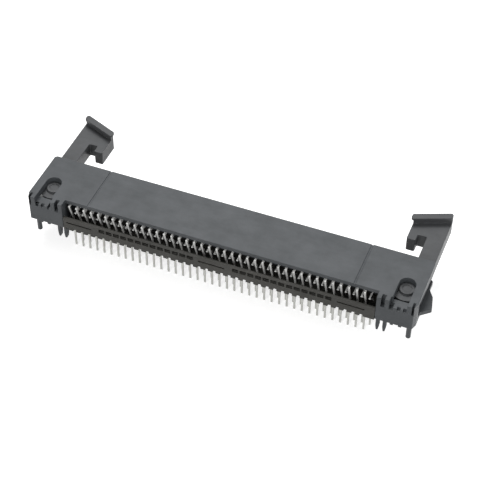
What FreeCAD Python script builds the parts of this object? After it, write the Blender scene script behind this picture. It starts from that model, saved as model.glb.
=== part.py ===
import FreeCAD, Part
import os
import Sketcher

# Right-angle board header with a shrouded mating face and a swinging latch at each end.
# X runs along the connector, +Y is the mating side, +Z is up and z = 0 is the board.
# The origin is on the board, midway along the housing, under the rear row of tails.

os.makedirs("parts", exist_ok=True)
doc = FreeCAD.newDocument("board_header")
sheet = doc.addObject("Spreadsheet::Sheet", "Sizes")

COLUMNS = 40
BANK_COLUMNS = 5
WINDOWS = 13
WINDOW_GROUPS = (4, 22)
SLOT_COLUMNS = (0, 18, 36)


class Size:
    """A length in millimetres, kept as a number and as the sheet formula that gives it."""

    def __init__(self, text, value):
        self.text = text
        self.value = value

    def joined(self, other, sign, value):
        return Size(f"({self.text} {sign} {of(other).text})", value)

    def __add__(self, other):
        return self.joined(other, "+", self.value + of(other).value)

    def __sub__(self, other):
        return self.joined(other, "-", self.value - of(other).value)

    def __mul__(self, other):
        return self.joined(other, "*", self.value * of(other).value)

    def __truediv__(self, other):
        return self.joined(other, "/", self.value / of(other).value)

    def __neg__(self):
        return of(0) - self


def of(value):
    """Give a plain number as a Size."""
    if isinstance(value, Size):
        return value
    return Size(str(value), float(value))


# Contact field
PITCH = 1.27
ROW_STAGGER = 0.635
ROW_SPACING = 1.905
FIELD_OFFSET = -0.4
CONTACT_WIDTH = 0.3
CONTACT_THICK = 0.25
CONTACT_BEVEL = 0.09
CONTACT_FIT = 0.02
TIP_RECESS = 0.9
TAIL_LENGTH = 5.5
TAIL_ROW_GAP = 1.27
ROW_MARGIN = 0.3975
TAIL_BEND = 0.7
UPPER_KNEE_REACH = 1.1
LOWER_KNEE_REACH = 1.67

# Shroud and pin wall
ROOF_THICK = 0.7
FLOOR_LIFT = 0.9
FLOOR_THICK = 0.8
FRONT_REACH = 8.0
LIP_REACH = 0.95
WALL_BACK = 2.0
WALL_THICK = 1.8
CAVITY_MARGIN = 1.435
KEY_WIDTH = 4.0
KEY_DEPTH = 0.35
GROOVE_INSET = 4.1
GROOVE_WIDTH = 0.3
GROOVE_DEPTH = 0.12

# End blocks that carry the latches
END_WALL = 0.9
BLOCK_REAR = 2.35
BLOCK_LIFT = 0.3
UPPER_FLANGE = 1.2
LOWER_FLANGE = 0.8
CORNER_BEVEL = 0.35
RIB_WIDTH = 0.7
RIB_SLOT = 0.6
RIB_SLOT_DEPTH = 1.0
RIB_SLOT_HEIGHT = 1.8
END_SLOT = 0.35
END_POST = 0.35
REAR_BEVEL_WIDTH = 0.35
REAR_BEVEL_LENGTH = 1.0
REAR_NOTCH_WIDTH = 0.5
REAR_NOTCH_HEIGHT = 0.5
REAR_NOTCH_DEPTH = 0.45
REAR_NOTCH_GAP = 0.45
EAR_REACH = 1.46
EAR_BACK = 0.8
EAR_REAR_SLOPE = 1.3
EAR_SIDE = 2.4
EAR_FRONT_SLOPE = 1.4
EAR_FRONT_REACH = 0.9
FOOT_WIDTH = 0.8
FOOT_DEPTH = 1.2
NUB_WIDTH = 0.5
NUB_SPACING = 1.3
NUB_INSET = 3.8

# Pegs that enter the board
PEG_WIDTH = 0.55
PEG_DEPTH = 0.75
PEG_LENGTH = 3.0
PEG_PLACE = 1.4
PEG_SPACING = 1.1
PEG_TAPER = 0.12
PEG_TAPER_LENGTH = 0.9
POST_RADIUS = 0.4
POST_LENGTH = 3.0
POST_INSET = 1.0

# Latches
PIVOT_INSET = 2.7
HUB_GAP = 0.3
PIVOT_REACH = 2.0
BOSS_RADIUS = 1.2
BOSS_CLEARANCE = 0.08
LOWER_BOSS_RISE = 0.55
UPPER_BOSS_RISE = 0.4
DISH_RADIUS = 0.75
DISH_DEPTH = 0.15
HUB_RADIUS = 2.3
LATCH_CLEARANCE = 0.15
ARM_INSET = 0.3
ARM_WIDTH = 2.8
HOOK_WIDTH = 1.45
HOOK_GAP = 1.5
HOOK_TIP_REACH = 12.65
HOOK_LENGTH = 1.4
HOOK_DEPTH = 3.05
END_SKEW = 2.4
TAB_DEPTH = 1.25
TAB_RISE = 1.3
TAB_PLATE = 0.45
TAB_UNDERCUT = 0.35
TAB_INNER_REACH = 0.35
TAB_ROUNDING = 0.4
HOOK_ROUNDING = 0.25
EJECT_ENTRY = 0.9
EJECT_WALL_GAP = 0.55
EJECT_DEPTH = 1.0
EJECT_LIFT = 0.2
EJECT_HEIGHT = 1.35
EJECT_HEADROOM = 0.3
EJECT_WINDOW = 3.5

# Tail locator strip
STRIP_FIT = 0.05
STRIP_WALL = 0.45
STRIP_HEIGHT = 2.5
STRIP_BASE = 0.5
STRIP_FRONT = 3.0
STRIP_RIB = 0.6
TAIL_HOLE_GAP = 0.08
NOTCH_WIDTH = 0.5
NOTCH_HEIGHT = 0.4
WINDOW_WIDTH = 1.0
WINDOW_HEIGHT = 0.7
WINDOW_DROP = 0.35
WINDOW_SHIFT = 0.4
THIN_SLOT_SHIFT = -0.1
THIN_SLOT_LENGTH = 4.4
THIN_SLOT_HEIGHT = 0.25

# Every length goes into the sheet under its own name, which from here on stands for that cell
lengths = [(name, value) for name, value in globals().items() if name.isupper() and isinstance(value, float)]
for row, (name, value) in enumerate(lengths, start=1):
    sheet.set(f"A{row}", name.lower())
    sheet.set(f"B{row}", str(value))
    sheet.setAlias(f"B{row}", name.lower())
    globals()[name] = Size(f"Sizes.{name.lower()}", value)
doc.recompute()

# Levels and planes that several pieces share, each from the ones before it
middle_column = (COLUMNS - 1) / 2
half_cavity = PITCH * middle_column + CAVITY_MARGIN
bay_inner = half_cavity + END_WALL
pivot_x = bay_inner + HUB_GAP + HUB_RADIUS
half_length = pivot_x + PIVOT_INSET
bay_rear = PIVOT_REACH - HUB_RADIUS - HUB_GAP
wall_front = WALL_BACK + WALL_THICK
floor_top = FLOOR_LIFT + FLOOR_THICK
lower_level = floor_top + ROW_MARGIN
upper_level = lower_level + ROW_SPACING
roof_under = upper_level + ROW_MARGIN
top = roof_under + ROOF_THICK
bay_floor = BLOCK_LIFT + LOWER_FLANGE
bay_roof = top - UPPER_FLANGE
latch_bottom = bay_floor + LATCH_CLEARANCE
latch_top = bay_roof - LATCH_CLEARANCE
eject_bottom = floor_top + EJECT_LIFT
eject_top = eject_bottom + EJECT_HEIGHT


def column_x(index, stagger):
    """Give the X of a contact column: the field's middle plus whole pitches from it."""
    return FIELD_OFFSET + ROW_STAGGER * stagger + PITCH * (index - middle_column)


def new_body(label):
    """Start one sub-part."""
    body = doc.addObject("PartDesign::Body", label)
    body.Label = label
    body.AllowCompound = True
    return body


def origin_part(body, role):
    """Find one of the body's own origin planes or axes."""
    for feature in body.Origin.OriginFeatures:
        if feature.Role == role:
            return feature
    raise RuntimeError(role)


def new_sketch(body, name, role, offset):
    """Lay an empty sketch on an origin plane, moved along that plane's normal."""
    sketch = body.newObject("Sketcher::SketchObject", name)
    sketch.AttachmentSupport = [(origin_part(body, role), "")]
    sketch.MapMode = "FlatFace"
    sketch.setExpression("AttachmentOffset.Base.z", offset.text)
    return sketch


def hold(sketch, index, point, x, y):
    """Fix one sketch point at sheet-driven distances from the sketch's origin."""
    for kind, length in (("DistanceX", x), ("DistanceY", y)):
        number = sketch.addConstraint(Sketcher.Constraint(kind, -1, 1, index, point, length.value))
        sketch.setExpression(f"Constraints[{number}]", length.text)


def draw_polygon(sketch, points):
    """Draw a closed outline with straight sides through the given points."""
    points = [(of(x), of(y)) for x, y in points]
    count = len(points)
    for index in range(count):
        x, y = points[index]
        next_x, next_y = points[(index + 1) % count]
        start = FreeCAD.Vector(x.value, y.value, 0)
        end = FreeCAD.Vector(next_x.value, next_y.value, 0)
        sketch.addGeometry(Part.LineSegment(start, end), False)
    for index in range(count):
        sketch.addConstraint(Sketcher.Constraint("Coincident", index, 2, (index + 1) % count, 1))
    for index in range(count):
        hold(sketch, index, 1, *points[index])


def draw_circle(sketch, x, y, radius):
    """Draw one circle."""
    centre = FreeCAD.Vector(x.value, y.value, 0)
    up = FreeCAD.Vector(0, 0, 1)
    sketch.addGeometry(Part.Circle(centre, up, radius.value), False)
    hold(sketch, 0, 3, x, y)
    number = sketch.addConstraint(Sketcher.Constraint("Radius", 0, radius.value))
    sketch.setExpression(f"Constraints[{number}]", radius.text)


def feature(body, name, axis, low, high, cut, draw):
    """Pad or pocket a sketch from low to high along one axis."""
    role = {"x": "YZ_Plane", "y": "XZ_Plane", "z": "XY_Plane"}[axis]
    offset = -of(high) if axis == "y" else of(low)
    sketch = new_sketch(body, name + "_sketch", role, offset)
    draw(sketch)
    kind = "PartDesign::Pocket" if cut else "PartDesign::Pad"
    solid = body.newObject(kind, name)
    solid.Profile = sketch
    solid.Type = "Length"
    solid.Reversed = cut
    solid.setExpression("Length", (of(high) - low).text)
    return solid


def prism(body, name, axis, low, high, points, cut=False):
    """Pad or pocket a polygon. Its points are (y, z), (x, z) or (x, y) by the axis."""
    return feature(body, name, axis, low, high, cut, lambda sketch: draw_polygon(sketch, points))


def block(body, name, x, y, z, cut=False):
    """Pad or pocket a box given by its (low, high) pairs."""
    corners = [(x[0], y[0]), (x[1], y[0]), (x[1], y[1]), (x[0], y[1])]
    return prism(body, name, "z", z[0], z[1], corners, cut)


def disc(body, name, x, y, radius, low, high, cut=False):
    """Pad or pocket an upright cylinder."""
    return feature(body, name, "z", low, high, cut, lambda sketch: draw_circle(sketch, x, y, radius))


def mirrored(body, name, originals):
    """Repeat features on the other side of the YZ plane."""
    mirror = body.newObject("PartDesign::Mirrored", name)
    mirror.Originals = originals
    mirror.MirrorPlane = (origin_part(body, "YZ_Plane"), [""])
    body.Tip = mirror
    return mirror


def repeated(body, name, originals, count, spacing):
    """Repeat features along X at an even spacing."""
    pattern = body.newObject("PartDesign::LinearPattern", name)
    pattern.Originals = originals
    pattern.Direction = (origin_part(body, "X_Axis"), [""])
    pattern.Occurrences = count
    pattern.setExpression("Length", (spacing * (count - 1)).text)
    body.Tip = pattern
    return pattern


def rounded(body, name, radius, low_y, high_y, top):
    """Round the last feature's upright edges that stand between two Y places and end at a top."""
    doc.recompute()
    base = body.Tip
    names = []
    for number, edge in enumerate(base.Shape.Edges):
        box = edge.BoundBox
        upright = box.XLength < 0.001 and box.YLength < 0.001
        placed = low_y.value - 0.001 < box.YMin < high_y.value + 0.001
        if upright and placed and abs(box.ZMax - top.value) < 0.001:
            names.append(f"Edge{number + 1}")
    fillet = body.newObject("PartDesign::Fillet", name)
    fillet.Base = (base, names)
    fillet.setExpression("Radius", radius.text)
    body.Tip = fillet
    return fillet


def build_housing():
    """Moulded housing: shroud, pin wall, roof lip and two forked end blocks."""
    body = new_body("housing")
    shroud = [
        (-LIP_REACH, top),
        (FRONT_REACH, top),
        (FRONT_REACH, roof_under),
        (wall_front, roof_under),
        (wall_front, floor_top),
        (FRONT_REACH, floor_top),
        (FRONT_REACH, FLOOR_LIFT),
        (WALL_BACK, FLOOR_LIFT),
        (WALL_BACK, roof_under),
        (-LIP_REACH, roof_under),
    ]
    prism(body, "shroud", "x", -half_cavity, half_cavity, shroud)
    right = []
    outline = [
        (half_cavity, -BLOCK_REAR),
        (half_length - REAR_BEVEL_WIDTH, -BLOCK_REAR),
        (half_length, REAR_BEVEL_LENGTH - BLOCK_REAR),
        (half_length, FRONT_REACH - CORNER_BEVEL),
        (half_length - CORNER_BEVEL, FRONT_REACH),
        (half_cavity, FRONT_REACH),
    ]
    right.append(prism(body, "end_block", "z", BLOCK_LIFT, top, outline))
    rear_corner = EAR_BACK + EAR_REAR_SLOPE
    front_corner = rear_corner + EAR_SIDE
    ear_front = front_corner + EAR_FRONT_SLOPE
    ear = [
        (half_length - END_WALL, EAR_BACK),
        (half_length, EAR_BACK),
        (half_length + EAR_REACH, rear_corner),
        (half_length + EAR_FRONT_REACH, front_corner),
        (half_length, ear_front),
        (half_length - END_WALL, ear_front),
    ]
    right.append(prism(body, "ear", "z", BLOCK_LIFT, bay_floor, ear))
    bay = ((bay_inner, half_length + END_WALL), (bay_rear, FRONT_REACH + END_WALL))
    right.append(block(body, "latch_bay", *bay, (bay_floor, bay_roof), True))
    bore_radius = BOSS_RADIUS + BOSS_CLEARANCE
    pivot = (pivot_x, PIVOT_REACH)
    right.append(disc(body, "pivot_bore", *pivot, bore_radius, 0, top, True))
    slot = ((pivot_x - bore_radius, pivot_x + bore_radius), (-BLOCK_REAR, PIVOT_REACH))
    right.append(block(body, "pivot_slot", *slot, (bay_roof, top), True))
    window = ((half_cavity, bay_inner), (wall_front, wall_front + EJECT_WINDOW))
    right.append(block(body, "ejector_window", *window, (floor_top, eject_top + EJECT_HEADROOM), True))
    rear = (-BLOCK_REAR, RIB_SLOT_DEPTH - BLOCK_REAR)
    for number in range(2):
        left = half_cavity + RIB_WIDTH + (RIB_WIDTH + RIB_SLOT) * number
        cut = ((left, left + RIB_SLOT), rear, (top - RIB_SLOT_HEIGHT, top))
        right.append(block(body, f"rib_slot_{number + 1}", *cut, cut=True))
    post = half_length - END_POST
    height = (top - RIB_SLOT_HEIGHT, top)
    right.append(block(body, "end_slot", (post - END_SLOT, post), rear, height, True))
    rear = (-BLOCK_REAR, REAR_NOTCH_DEPTH - BLOCK_REAR)
    for number in range(2):
        left = pivot_x - REAR_NOTCH_WIDTH / 2 + (REAR_NOTCH_WIDTH + REAR_NOTCH_GAP) * number
        notch = ((left, left + REAR_NOTCH_WIDTH), rear)
        height = (bay_roof - REAR_NOTCH_HEIGHT, bay_roof)
        right.append(block(body, f"rear_notch_{number + 1}", *notch, height, True))
    depth = (-PEG_PLACE, PEG_DEPTH - PEG_PLACE)
    for number in range(2):
        left = half_cavity + PEG_SPACING * number
        peg = [
            (left, BLOCK_LIFT),
            (left + PEG_WIDTH, BLOCK_LIFT),
            (left + PEG_WIDTH, PEG_TAPER_LENGTH - PEG_LENGTH),
            (left + PEG_WIDTH - PEG_TAPER, -PEG_LENGTH),
            (left + PEG_TAPER, -PEG_LENGTH),
            (left, PEG_TAPER_LENGTH - PEG_LENGTH),
        ]
        right.append(prism(body, f"peg_{number + 1}", "y", *depth, peg))
    post_x = half_length - POST_INSET
    post_y = POST_RADIUS - PEG_PLACE
    right.append(disc(body, "post", post_x, post_y, POST_RADIUS, -POST_LENGTH, BLOCK_LIFT))
    foot = ((bay_inner, bay_inner + FOOT_WIDTH), (FRONT_REACH - FOOT_DEPTH, FRONT_REACH))
    right.append(block(body, "front_foot", *foot, (0, BLOCK_LIFT)))
    for number in range(2):
        left = half_length - NUB_INSET + NUB_SPACING * number
        nub = ((left, left + NUB_WIDTH), (-BLOCK_REAR, NUB_WIDTH - BLOCK_REAR))
        right.append(block(body, f"rear_foot_{number + 1}", *nub, (0, BLOCK_LIFT)))
    left = half_cavity - GROOVE_INSET
    groove = ((left, left + GROOVE_WIDTH), (-LIP_REACH, FRONT_REACH))
    height = (top - GROOVE_DEPTH, top)
    right.append(block(body, "top_groove", *groove, height, True))
    mirrored(body, "left_end", right)
    key = ((-KEY_WIDTH / 2, KEY_WIDTH / 2), (wall_front, FRONT_REACH))
    body.Tip = block(body, "key_way", *key, (roof_under, roof_under + KEY_DEPTH), True)
    for name, stagger, level in (("upper", -0.5, upper_level), ("lower", 0.5, lower_level)):
        half_width = CONTACT_WIDTH / 2 + CONTACT_FIT
        half_thick = CONTACT_THICK / 2 + CONTACT_FIT
        first = column_x(0, stagger)
        hole = ((first - half_width, first + half_width), (WALL_BACK, wall_front))
        bore = block(body, f"{name}_bore", *hole, (level - half_thick, level + half_thick), True)
        repeated(body, f"{name}_bores", [bore], COLUMNS, PITCH)
    return body


def build_locator():
    """Strip behind the housing that holds the two rows of tails at their places."""
    body = new_body("tail_locator")
    half = half_cavity - STRIP_FIT
    rib_top = FLOOR_LIFT - STRIP_FIT
    section = [
        (-BLOCK_REAR, 0),
        (STRIP_FRONT, 0),
        (STRIP_FRONT, rib_top),
        (STRIP_FRONT - STRIP_RIB, rib_top),
        (STRIP_FRONT - STRIP_RIB, STRIP_BASE),
        (STRIP_WALL - BLOCK_REAR, STRIP_BASE),
        (STRIP_WALL - BLOCK_REAR, STRIP_HEIGHT),
        (-BLOCK_REAR, STRIP_HEIGHT),
    ]
    prism(body, "strip", "x", -half, half, section)
    wall = (-BLOCK_REAR, STRIP_WALL - BLOCK_REAR)
    first = column_x(0, -0.5)
    notch = ((first - NOTCH_WIDTH / 2, first + NOTCH_WIDTH / 2), wall, (0, NOTCH_HEIGHT))
    repeated(body, "notches", [block(body, "notch", *notch, cut=True)], COLUMNS, PITCH)
    window_bottom = STRIP_HEIGHT - WINDOW_DROP - WINDOW_HEIGHT
    window_height = (window_bottom, window_bottom + WINDOW_HEIGHT)
    for number, column in enumerate(WINDOW_GROUPS):
        middle = column_x(column + 0.5, -0.5) + WINDOW_SHIFT
        window = ((middle - WINDOW_WIDTH / 2, middle + WINDOW_WIDTH / 2), wall)
        opening = block(body, f"window_{number}", *window, window_height, True)
        repeated(body, f"windows_{number}", [opening], WINDOWS, PITCH)
    for number, column in enumerate(SLOT_COLUMNS):
        left = column_x(column, -0.5) + THIN_SLOT_SHIFT
        slot = ((left, left + THIN_SLOT_LENGTH), wall)
        height = (window_bottom, window_bottom + THIN_SLOT_HEIGHT)
        body.Tip = block(body, f"thin_slot_{number}", *slot, height, True)
    hole_half = CONTACT_WIDTH / 2 + TAIL_HOLE_GAP
    for name, stagger, place in (("rear", -0.5, of(0)), ("front", 0.5, TAIL_ROW_GAP)):
        left = column_x(0, stagger) - hole_half
        hole = ((left, left + hole_half * 2), (place - hole_half, place + hole_half), (0, STRIP_BASE))
        opening = block(body, f"{name}_tail_hole", *hole, cut=True)
        repeated(body, f"{name}_tail_holes", [opening], COLUMNS, PITCH)
    return body


def build_contacts(label, first_column, stagger, level, tail_y, knee_reach):
    """One bank of bent contacts: mating pin, run through the wall, slanted leg and tail."""
    body = new_body(label)
    half = CONTACT_THICK / 2
    knee_y = tail_y - knee_reach
    tip_y = FRONT_REACH - TIP_RECESS
    outline = [
        (tip_y - CONTACT_BEVEL, level + half),
        (knee_y - half + CONTACT_BEVEL, level + half),
        (knee_y - half, level + half - CONTACT_BEVEL),
        (tail_y - half, TAIL_BEND),
        (tail_y - half, CONTACT_BEVEL * 2 - TAIL_LENGTH),
        (tail_y - half + CONTACT_BEVEL, -TAIL_LENGTH),
        (tail_y + half - CONTACT_BEVEL, -TAIL_LENGTH),
        (tail_y + half, CONTACT_BEVEL * 2 - TAIL_LENGTH),
        (tail_y + half, TAIL_BEND),
        (knee_y + half, level - half),
        (tip_y - CONTACT_BEVEL, level - half),
        (tip_y, level - half + CONTACT_BEVEL),
        (tip_y, level + half - CONTACT_BEVEL),
    ]
    middle = column_x(first_column, stagger)
    side = CONTACT_WIDTH / 2
    strip = prism(body, label + "_contact", "x", middle - side, middle + side, outline)
    repeated(body, label + "_row", [strip], BANK_COLUMNS, PITCH)
    return body


def build_latch(label, side):
    """Swinging latch: hub with bosses, arm, hook, raised finger tab and ejector foot."""
    body = new_body(label)
    axis_x = pivot_x * side
    arm_outer = (half_length - ARM_INSET) * side
    arm_inner = arm_outer - ARM_WIDTH * side
    hook_outer = arm_inner - HOOK_GAP * side
    hook_inner = hook_outer - HOOK_WIDTH * side
    notch_reach = HOOK_TIP_REACH + HOOK_LENGTH
    end_inner = notch_reach + HOOK_DEPTH
    end_outer = end_inner + END_SKEW
    disc(body, label + "_hub", axis_x, PIVOT_REACH, HUB_RADIUS, latch_bottom, latch_top)
    arm = [
        (arm_inner, PIVOT_REACH),
        (arm_outer, PIVOT_REACH),
        (arm_outer, end_outer),
        (hook_inner, end_inner),
        (hook_inner, HOOK_TIP_REACH),
        (hook_outer, HOOK_TIP_REACH),
        (hook_outer, notch_reach),
        (arm_inner, notch_reach),
    ]
    prism(body, label + "_arm", "z", latch_bottom, latch_top, arm)
    corners = (HOOK_ROUNDING, HOOK_TIP_REACH, notch_reach)
    rounded(body, label + "_hook_corners", *corners, latch_top)
    web_rear = TAB_DEPTH - TAB_UNDERCUT
    web = [
        (hook_inner, end_inner - web_rear),
        (arm_outer, end_outer - web_rear),
        (arm_outer, end_outer),
        (hook_inner, end_inner),
    ]
    prism(body, label + "_tab_web", "z", latch_top, latch_top + TAB_RISE - TAB_PLATE, web)
    tab_inner = hook_inner - TAB_INNER_REACH * side
    slope = END_SKEW / (ARM_WIDTH + HOOK_GAP + HOOK_WIDTH)
    inner_front = end_inner - slope * TAB_INNER_REACH
    plate = [
        (tab_inner, inner_front - TAB_DEPTH),
        (arm_outer, end_outer - TAB_DEPTH),
        (arm_outer, end_outer),
        (tab_inner, inner_front),
    ]
    plate_top = latch_top + TAB_RISE
    prism(body, label + "_tab", "z", plate_top - TAB_PLATE, plate_top, plate)
    corners = (TAB_ROUNDING, inner_front - TAB_DEPTH, end_outer)
    rounded(body, label + "_tab_corners", *corners, plate_top)
    foot_tip = (half_cavity - EJECT_ENTRY) * side
    foot_low = wall_front + EJECT_WALL_GAP
    foot = [
        (foot_tip, foot_low),
        (axis_x, foot_low - EJECT_DEPTH),
        (axis_x, foot_low + EJECT_DEPTH / 2),
        (foot_tip, foot_low + EJECT_DEPTH),
    ]
    prism(body, label + "_ejector", "z", eject_bottom, eject_top, foot)
    boss = (axis_x, PIVOT_REACH, BOSS_RADIUS)
    disc(body, label + "_lower_boss", *boss, latch_bottom - LOWER_BOSS_RISE, latch_bottom)
    upper = latch_top + UPPER_BOSS_RISE
    disc(body, label + "_upper_boss", *boss, latch_top, upper)
    dish = (axis_x, PIVOT_REACH, DISH_RADIUS)
    body.Tip = disc(body, label + "_dish", *dish, upper - DISH_DEPTH, upper, True)
    return body


bodies = [build_housing(), build_locator(), build_latch("right_latch", 1), build_latch("left_latch", -1)]
for bank in range(COLUMNS // BANK_COLUMNS):
    start = bank * BANK_COLUMNS
    upper_shape = (-0.5, upper_level, of(0), UPPER_KNEE_REACH)
    lower_shape = (0.5, lower_level, TAIL_ROW_GAP, LOWER_KNEE_REACH)
    bodies.append(build_contacts(f"upper_contacts_{bank + 1}", start, *upper_shape))
    bodies.append(build_contacts(f"lower_contacts_{bank + 1}", start, *lower_shape))

doc.recompute()

# Every feature has to be sound before anything is written
for item in doc.Objects:
    if "Invalid" in item.State or "Error" in item.State:
        raise RuntimeError(f"{item.Name} failed: {item.State}")
for body in bodies:
    if body.Shape.isNull() or not body.Shape.isValid():
        raise RuntimeError(f"{body.Label} has no sound shape")

for body in bodies:
    body.Shape.exportStep(f"parts/{body.Label}.step")
    print(f"{body.Label}: {len(body.Shape.Solids)} solids, {body.Shape.Volume:.3f} mm3")
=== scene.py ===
# %% [markdown]
# # A right-angle board header, dressed for its portrait
# The measured solids of this connector are already packed as a frame of named
# nodes: a moulded housing, a strip that spaces the tails, eighty bent contacts
# and two swinging latches. This lesson loads that frame, sets up a small white
# studio and gives every piece the finish of the real one. All lengths are in
# metres, X runs along the connector, +Y is its mating side and z = 0 is the
# surface of the circuit board.

# %% Load the measured frame
import bpy
import numpy as np
from mathutils import Matrix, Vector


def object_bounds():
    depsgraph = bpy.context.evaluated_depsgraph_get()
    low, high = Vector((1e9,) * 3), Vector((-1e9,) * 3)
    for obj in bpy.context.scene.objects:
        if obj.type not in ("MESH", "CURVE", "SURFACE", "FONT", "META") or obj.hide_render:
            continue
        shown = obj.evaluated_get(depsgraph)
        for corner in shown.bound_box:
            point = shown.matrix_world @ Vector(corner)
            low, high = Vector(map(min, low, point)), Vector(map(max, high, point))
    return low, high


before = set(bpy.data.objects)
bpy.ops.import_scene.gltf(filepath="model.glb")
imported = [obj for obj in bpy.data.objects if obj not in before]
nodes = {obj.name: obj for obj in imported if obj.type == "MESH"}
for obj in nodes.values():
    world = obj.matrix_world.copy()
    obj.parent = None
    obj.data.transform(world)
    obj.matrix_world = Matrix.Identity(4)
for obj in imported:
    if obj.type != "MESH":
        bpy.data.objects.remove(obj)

MM = 0.001
cad_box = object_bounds()
print("nodes:", len(nodes), "box in mm:", [[round(v / MM, 2) for v in p] for p in cad_box])

# %% [markdown]
# ## Camera
# The photograph looks down at about 45 degrees from behind the connector and
# slightly from its right. An orbit camera needs only a few numbers: two angles,
# a small roll, the point it looks at, its distance and the length of its lens. A
# long lens keeps the far end nearly as large as the near one, as in the photo.

# %% Place the camera on its orbit
AZIMUTH, ELEVATION, ROLL = 0.373, 0.786, 0.009
DISTANCE = 223.185 * MM
TARGET_SHIFT = np.array([-3.930, -3.381]) * MM
FIELD_MIDDLE = np.array([-0.829, 0.0, 0.0]) * MM
FOCAL_PIXELS, FRAME_PIXELS = 1418.7, 480
SENSOR_WIDTH = 36.0
NEAR_CLIP = 5 * MM


def orbit_axes(azimuth, elevation, roll):
    """Right, up and forward of a camera on an orbit.

    Forward is (-sin a cos e, cos a cos e, -sin e), right is the level direction
    (cos a, sin a, 0), up is their cross product, and the roll turns right and up
    about forward.
    """
    a, e = azimuth, elevation
    forward = np.array([-np.sin(a) * np.cos(e), np.cos(a) * np.cos(e), -np.sin(e)])
    right = np.array([np.cos(a), np.sin(a), 0.0])
    up = np.cross(right, forward)
    c, s = np.cos(roll), np.sin(roll)
    return c * right + s * up, c * up - s * right, forward


def placed(right, up, back, point):
    """A matrix whose columns are the axes right, up and back and the point they meet at."""
    pose = np.eye(4)
    pose[:3, :3] = np.column_stack([right, up, back])
    pose[:3, 3] = point
    return Matrix(pose.tolist())


right, up, forward = orbit_axes(AZIMUTH, ELEVATION, ROLL)
eye = FIELD_MIDDLE - TARGET_SHIFT[0] * right - TARGET_SHIFT[1] * up - DISTANCE * forward
camera_data = bpy.data.cameras.new("photo_camera")
camera_data.sensor_width = SENSOR_WIDTH
camera_data.lens = FOCAL_PIXELS / FRAME_PIXELS * SENSOR_WIDTH
camera_data.clip_start = NEAR_CLIP
camera = bpy.data.objects.new("photo_camera", camera_data)
bpy.context.scene.collection.objects.link(camera)
camera.matrix_world = placed(right, up, -forward, eye)
bpy.context.scene.camera = camera
bpy.context.scene.view_settings.view_transform = "Standard"
print("lens:", round(camera_data.lens, 1), "mm, eye in mm:", np.round(eye / MM, 1))

# %% [markdown]
# ## Studio
# The connector was photographed on a white sweep. A large floor just under the
# tails keeps the soft shadow, and a white world shines on everything evenly. The
# camera and every mirror see the world and the lit floor as white, so the lamps
# can stay at a plain level. A material is a small graph of nodes, so the first
# helper adds a node and fills or links its sockets in one line.


# %% Helper that links shader nodes
def socket_of(node, name):
    """An input of a node, by its place as in i0, or by its name with _ for a space."""
    if name[0] == "i" and name[1:].isdigit():
        return node.inputs[int(name[1:])]
    return node.inputs[name.replace("_", " ")]


def shader(material):
    """Empty a material's node tree and return a function that adds linked nodes."""
    material.use_nodes = True
    tree = material.node_tree
    tree.nodes.clear()

    def add(kind, **inputs):
        """Add a node: a value sets its property or socket, and a socket is linked."""
        node = tree.nodes.new(kind)
        for name, value in inputs.items():
            if hasattr(node, name):
                setattr(node, name, value)
            elif isinstance(value, bpy.types.NodeSocket):
                tree.links.new(value, socket_of(node, name))
            else:
                socket_of(node, name).default_value = value
        return node

    return add


# %% Tell what is seen from what is lit
def larger(add, first, second):
    """The larger of two values."""
    return add("ShaderNodeMath", operation="MAXIMUM", i0=first, i1=second).outputs[0]


def seen(add):
    """1 for rays of the camera, of gloss and of glass, and 0 for rays that carry light."""
    rays = add("ShaderNodeLightPath").outputs
    either = larger(add, rays["Is Camera Ray"], rays["Is Glossy Ray"])
    return larger(add, either, rays["Is Transmission Ray"])


# %% Floor
FLOOR_REACH = 0.6
FLOOR_GAP = 0.02 * MM
PAPER_SEEN, PAPER_GLOW, PAPER_LIT = 0.8, 0.7, 0.35


def grey(level):
    """A neutral colour."""
    return (level, level, level, 1)


def lay_floor():
    """A flat square of four corners just under the ends of the tails.

    Seen rays meet white paper with a glow of its own, and all other rays meet a
    darker paper, so that the floor throws little light up at the connector.
    """
    corners = np.array([[-1, -1], [1, -1], [1, 1], [-1, 1]]) * FLOOR_REACH
    points = np.column_stack([corners, np.full(4, cad_box[0][2] - FLOOR_GAP)])
    mesh = bpy.data.meshes.new("studio_floor")
    mesh.from_pydata(points.tolist(), [], [[0, 1, 2, 3]])
    floor = bpy.data.objects.new("studio_floor", mesh)
    bpy.context.scene.collection.objects.link(floor)
    paper = bpy.data.materials.new("studio_paper")
    add = shader(paper)
    matt = add("ShaderNodeBsdfDiffuse", Color=grey(PAPER_SEEN)).outputs[0]
    glow = add("ShaderNodeEmission", Color=grey(1), Strength=PAPER_GLOW).outputs[0]
    white = add("ShaderNodeAddShader", i0=matt, i1=glow).outputs[0]
    dim = add("ShaderNodeBsdfDiffuse", Color=grey(PAPER_LIT)).outputs[0]
    plain = add("ShaderNodeMixShader", i0=seen(add), i1=dim, i2=white)
    add("ShaderNodeOutputMaterial", Surface=plain.outputs[0])
    mesh.materials.append(paper)
    return floor


floor = lay_floor()
print("floor at z in mm:", round(floor.data.vertices[0].co.z / MM, 2))

# %% [markdown]
# ## World and lamps
# Three soft lamps light the connector. The key lamp hangs above the mating side
# and gives the top its even grey. A second one stands at the right end and
# lights the latch's side. The third hangs lower behind the connector and reaches
# under the roof's lip to the bent legs. It is wide, so that its gloss on the
# flat top stays soft when the part is seen from the mating side.

# %% Light the studio
WORLD_SEEN, WORLD_LIT = 1.0, 0.16
LAMPS = {
    "key_lamp": ((-0.08, 0.16, 0.38), 0.2, 1.3),
    "side_lamp": ((0.34, 0.0, 0.20), 0.14, 0.5),
    "rear_lamp": ((-0.04, -0.34, 0.16), 0.2, 0.6),
}


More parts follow.
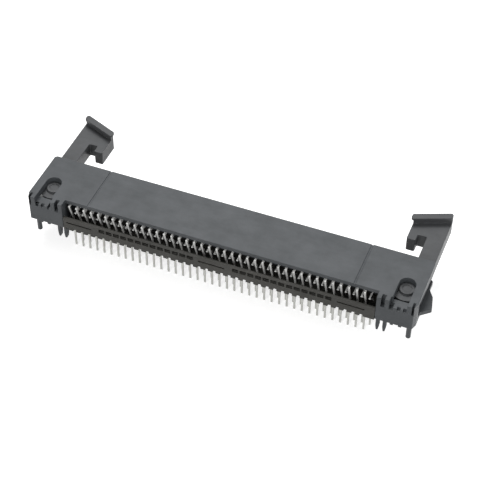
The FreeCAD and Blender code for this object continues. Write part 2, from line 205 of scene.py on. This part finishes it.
def light_world():
    """A white world: full white to the camera and mirrors, a softer white as light."""
    world = bpy.data.worlds.new("studio_world")
    bpy.context.scene.world = world
    add = shader(world)
    level = add("ShaderNodeMapRange", Value=seen(add), To_Min=WORLD_LIT, To_Max=WORLD_SEEN)
    light = add("ShaderNodeBackground", Color=grey(1), Strength=level.outputs[0])
    add("ShaderNodeOutputWorld", Surface=light.outputs[0])


def hang_lamp(name, place, size, watts):
    """A square soft lamp that faces the origin, which is midway along the connector.

    Back is the lamp's own place made one long, side is Y cross back made one
    long, and the third axis is back cross side.
    """
    data = bpy.data.lights.new(name, "AREA")
    data.size = size
    data.energy = watts
    lamp = bpy.data.objects.new(name, data)
    bpy.context.scene.collection.objects.link(lamp)
    back = np.array(place) / np.linalg.norm(place)
    side = np.cross([0.0, 1.0, 0.0], back)
    side /= np.linalg.norm(side)
    lamp.matrix_world = placed(side, np.cross(back, side), back, place)


light_world()
for name, (place, size, watts) in LAMPS.items():
    hang_lamp(name, place, size, watts)
print("lamps:", len(LAMPS), "of", sum(watts for _, _, watts in LAMPS.values()), "W in all")

# %% [markdown]
# ## Moulded plastic
# The housing, the strip and the latches are dark moulded plastic. Its skin is
# nearly matt, has a fine grain from the mould and a cloudy drift in tone where
# the resin flowed. A broad noise and a weaker one, stretched along the part, tint
# the colour and the roughness, and a fine one lifts a shallow bump. The Bevel
# node softens the light on every moulded edge, because no moulding has a knife
# edge. The strip is warmer than the housing, and darker partly by its own tone and partly by
# painted shade for its rear faces.

# %% Plastic finish
CLOUD_SCALE, STREAK_SCALE, GRAIN_SCALE = 260.0, 900.0, 9000.0
STREAK_STRETCH = (0.25, 1.0, 1.0)
STREAK_SHARE = 0.35
TONE_FROM, TONE_TO = 0.45, 0.95
ROUGHNESS_DRIFT = 0.06
GRAIN_STRENGTH, GRAIN_DEPTH = 0.5, 0.02 * MM
SOFT_EDGE, SOFT_EDGE_SAMPLES = 0.06 * MM, 6
PLASTIC_GLOSS = 0.25


def mixed(add, share, first, second):
    """A colour that goes from the first at share 0 to the second at share 1."""
    ends = {"i6": (*first, 1), "i7": (*second, 1)}
    return add("ShaderNodeMix", data_type="RGBA", i0=share, **ends).outputs[2]


def moulded(name, dark, light, roughness):
    """Plastic whose tone drifts between two colours and whose skin is finely grained.

    The tone is the cloud noise plus 0.35 of the streak noise, stretched from its
    middle range to 0 and 1. Where it is light the skin is also a little smoother.
    """
    material = bpy.data.materials.new(name)
    add = shader(material)
    place = add("ShaderNodeTexCoord").outputs["Object"]
    cloud = add("ShaderNodeTexNoise", Vector=place, Scale=CLOUD_SCALE, Detail=5.0,
                Roughness=0.62).outputs[0]
    flow = add("ShaderNodeMapping", Vector=place, Scale=STREAK_STRETCH).outputs[0]
    streak = add("ShaderNodeTexNoise", Vector=flow, Scale=STREAK_SCALE, Detail=3.0).outputs[0]
    both = add("ShaderNodeMath", operation="MULTIPLY_ADD", i0=streak, i1=STREAK_SHARE,
               i2=cloud).outputs[0]
    tone = add("ShaderNodeMapRange", Value=both, From_Min=TONE_FROM, From_Max=TONE_TO).outputs[0]
    rough = add("ShaderNodeMapRange", Value=tone, To_Min=roughness + ROUGHNESS_DRIFT,
                To_Max=roughness - ROUGHNESS_DRIFT).outputs[0]
    grain = add("ShaderNodeTexNoise", Vector=place, Scale=GRAIN_SCALE, Detail=2.0).outputs[0]
    soft = add("ShaderNodeBevel", samples=SOFT_EDGE_SAMPLES, Radius=SOFT_EDGE).outputs[0]
    bump = add("ShaderNodeBump", Strength=GRAIN_STRENGTH, Distance=GRAIN_DEPTH, Height=grain,
               Normal=soft).outputs[0]
    skin = add("ShaderNodeBsdfPrincipled", Base_Color=mixed(add, tone, dark, light),
               Roughness=rough, Specular_IOR_Level=PLASTIC_GLOSS, Normal=bump)
    add("ShaderNodeOutputMaterial", Surface=skin.outputs[0])
    return material


plastics = [
    moulded("housing_plastic", (0.052, 0.057, 0.061), (0.078, 0.084, 0.091), 0.42),
    moulded("latch_plastic", (0.056, 0.058, 0.061), (0.082, 0.085, 0.089), 0.40),
    # The strip's darker colour is partly its own tone and partly painted shade for its rear
    # faces.
    moulded("strip_plastic_with_painted_shade", (0.044, 0.043, 0.039), (0.062, 0.060, 0.055), 0.55),
]
housing_plastic, latch_plastic, strip_plastic_with_painted_shade = plastics
print("plastics:", [plastic.name for plastic in plastics])

# %% [markdown]
# ## Tin plate
# The contacts are stamped and plated with matt tin. Tin is pale and soft, with
# faint drawing lines along the strip, which a stretched noise follows. Painted
# light makes the legs in the recess near-white and matt, and painted shade makes
# the tails under the strip darker and closer to bare metal, mixed by height.

# %% Metal finish
LINE_STRETCH, LINE_SCALE = (6.0, 0.6, 0.6), 1500.0
# Painted light and shade by height: near-white matt tin on the legs, darker metal on the tails.
PAINTED_SHADE_BELOW, PAINTED_LIGHT_ABOVE = -0.6 * MM, 1.2 * MM
LINE_WEAR, LINE_WEAR_SHIFT = 0.45, -0.2
PAINTED_SHADE_TIN, PAINTED_LIGHT_TIN = (0.51, 0.51, 0.485), (0.96, 0.96, 0.94)
TIN_SMOOTH, TIN_ROUGH = 0.42, 0.58
PAINTED_SHADE_METAL, PAINTED_LIGHT_METAL = 0.75, 0.05
LINE_STRENGTH, LINE_DEPTH = 0.3, 0.01 * MM


def tinned(name):
    """Satin tin plate with fine lines along the contact.

    The share of painted light is 0 at 0.6 mm below the board and 1 at 1.2 mm above
    it, plus 0.45 times the line noise less 0.2, so it holds painted light and real
    drawing lines. The colour rises with this share, and the share of bare metal falls.
    """
    material = bpy.data.materials.new(name)
    add = shader(material)
    place = add("ShaderNodeTexCoord").outputs["Object"]
    drawn = add("ShaderNodeMapping", Vector=place, Scale=LINE_STRETCH).outputs[0]
    lines = add("ShaderNodeTexNoise", Vector=drawn, Scale=LINE_SCALE, Detail=3.0).outputs[0]
    height = add("ShaderNodeSeparateXYZ", Vector=place).outputs["Z"]
    # Painted light: the height alone lightens the legs and darkens the tails.
    above = add("ShaderNodeMapRange", Value=height, From_Min=PAINTED_SHADE_BELOW,
                From_Max=PAINTED_LIGHT_ABOVE).outputs[0]
    worn = add("ShaderNodeMath", operation="MULTIPLY_ADD", i0=lines, i1=LINE_WEAR,
               i2=LINE_WEAR_SHIFT).outputs[0]
    share = add("ShaderNodeMath", operation="ADD", use_clamp=True, i0=above, i1=worn).outputs[0]
    rough = add("ShaderNodeMapRange", Value=lines, To_Min=TIN_SMOOTH, To_Max=TIN_ROUGH).outputs[0]
    metal = add("ShaderNodeMapRange", Value=share, To_Min=PAINTED_SHADE_METAL,
                To_Max=PAINTED_LIGHT_METAL).outputs[0]
    bump = add("ShaderNodeBump", Strength=LINE_STRENGTH, Distance=LINE_DEPTH,
               Height=lines).outputs[0]
    skin = add("ShaderNodeBsdfPrincipled", Base_Color=mixed(add, share, PAINTED_SHADE_TIN, PAINTED_LIGHT_TIN),
               Metallic=metal, Roughness=rough, Normal=bump)
    add("ShaderNodeOutputMaterial", Surface=skin.outputs[0])
    return material


contact_tin = tinned("contact_tin")
print("metal:", contact_tin.name)

# %% [markdown]
# ## Rounded edges
# Plastic leaves its mould with edges rounded by a few hundredths of a
# millimetre, and stamped contacts are barrelled smooth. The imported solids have
# sharp edges, so modifiers round them: one joins the corners that the facets
# share, one makes each flat face of the mouldings whole again, and one rounds
# every edge that turns by more than 35 degrees. The solids stay as measured. The
# housing and the strip have thin ribs, so their rounding is a little smaller and
# isn't held back by the shortest edge.

# %% Round a node's edges
JOIN_WITHIN = 0.001 * MM
FLAT_WITHIN, EDGE_FROM = np.radians(1.0), np.radians(35.0)
RIBBED_RADIUS, PLAIN_RADIUS = 0.05 * MM, 0.06 * MM
EDGE_SEGMENTS = 2


def round_edges(node, ribbed, moulding):
    """Join corners, clear a moulding's flat faces of their diagonals and round the edges."""
    join = node.modifiers.new("join_corners", "WELD")
    join.merge_threshold = JOIN_WITHIN
    if moulding:
        flat = node.modifiers.new("flat_faces", "DECIMATE")
        flat.decimate_type = "DISSOLVE"
        flat.angle_limit = FLAT_WITHIN
    edge = node.modifiers.new("rounded_edges", "BEVEL")
    edge.width = RIBBED_RADIUS if ribbed else PLAIN_RADIUS
    edge.segments = EDGE_SEGMENTS
    edge.limit_method = "ANGLE"
    edge.angle_limit = EDGE_FROM
    edge.use_clamp_overlap = not ribbed


for name, node in nodes.items():
    round_edges(node, name in ("housing", "tail_locator"), "contacts" not in name)
print("rounded nodes:", len(nodes))

# %% [markdown]
# ## Finishes
# Each node of the frame keeps its mesh and gets one finish. The two latches
# share theirs, and all that has no plastic of its own is a bank of contacts.

# %% Give each node its finish
finishes = {
    "housing": housing_plastic,
    "tail_locator": strip_plastic_with_painted_shade,
    "right_latch": latch_plastic,
    "left_latch": latch_plastic,
}
for name, node in nodes.items():
    node.data.materials.clear()
    node.data.materials.append(finishes.get(name, contact_tin))
print("finished nodes:", len(nodes), "of which contacts:", len(nodes) - len(finishes))
